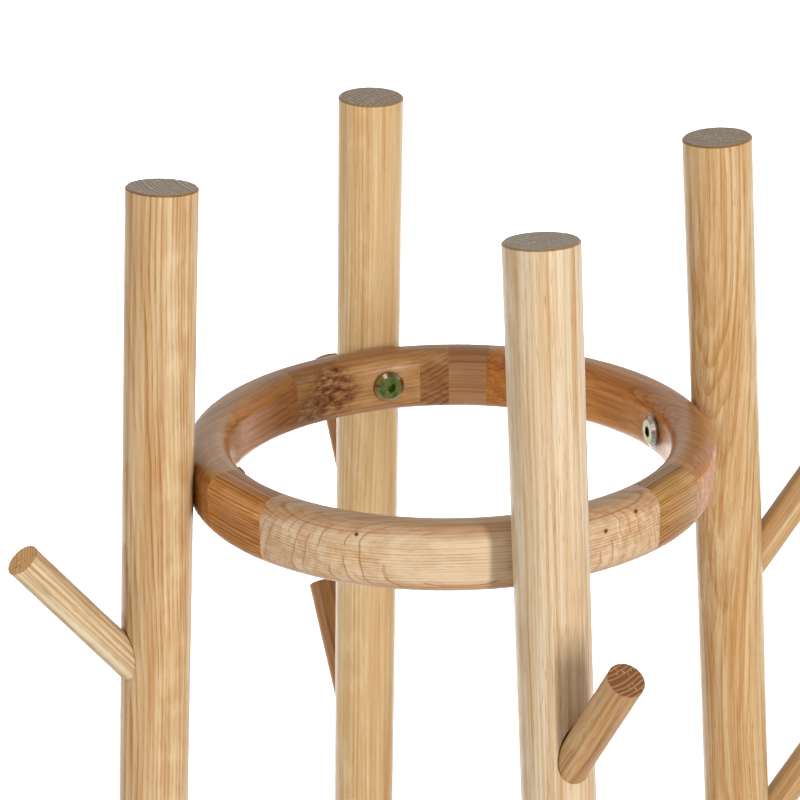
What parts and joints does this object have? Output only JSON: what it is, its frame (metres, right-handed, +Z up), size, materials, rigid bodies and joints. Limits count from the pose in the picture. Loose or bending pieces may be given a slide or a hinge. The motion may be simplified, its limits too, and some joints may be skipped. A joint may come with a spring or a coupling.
{
  "type": "coat stand",
  "caption": "Floor-standing oak coat stand: splayed round posts bolted round upper and lower wooden rings, with slanting dowel pegs for coats and hats.",
  "frame": {"origin": "on the floor, at the stand's vertical centre line", "axes": "+Z up; the four posts stand towards +X (right), +Y (back), -X (left) and -Y (front)"},
  "size_m": [0.5704, 0.5704, 1.7499],
  "materials": {
    "post_oak": "satin lacquer on straight-grained light oak",
    "peg_oak": "satin lacquer on turned oak dowel",
    "ring_oak": "satin lacquer on darker, glued-up oak arcs",
    "zinc_plated_steel": "yellow-green passivated zinc plating",
    "insert_nut_zinc": "plain zinc",
    "glide_plastic": "matt moulded",
    "nail_steel": "bright steel"
  },
  "bodies": {
    "root": {"post_right": "post_oak", "peg_right_upper": "peg_oak", "peg_right_lower": "peg_oak", "post_back": "post_oak", "peg_back_upper": "peg_oak", "peg_back_lower": "peg_oak", "post_left": "post_oak", "peg_left_upper": "peg_oak", "peg_left_lower": "peg_oak", "post_front": "post_oak", "peg_front_upper": "peg_oak", "peg_front_lower": "peg_oak", "upper_ring_back_right_key": "ring_oak", "upper_ring_back_key": "ring_oak", "upper_ring_back": "ring_oak", "upper_ring_left": "ring_oak", "upper_ring_front_left_key": "ring_oak", "upper_ring_front": "ring_oak", "upper_ring_front_right_key": "ring_oak", "upper_ring_right": "ring_oak", "lower_ring_back": "ring_oak", "lower_ring_left": "ring_oak", "lower_ring_front": "ring_oak", "lower_ring_right": "ring_oak", "upper_ring_bolts": "zinc_plated_steel", "upper_insert_nuts": "insert_nut_zinc", "lower_ring_bolts": "zinc_plated_steel", "lower_insert_nuts": "insert_nut_zinc", "foot_glides": "glide_plastic", "glide_nails": "nail_steel"}
  },
  "joints": []
}
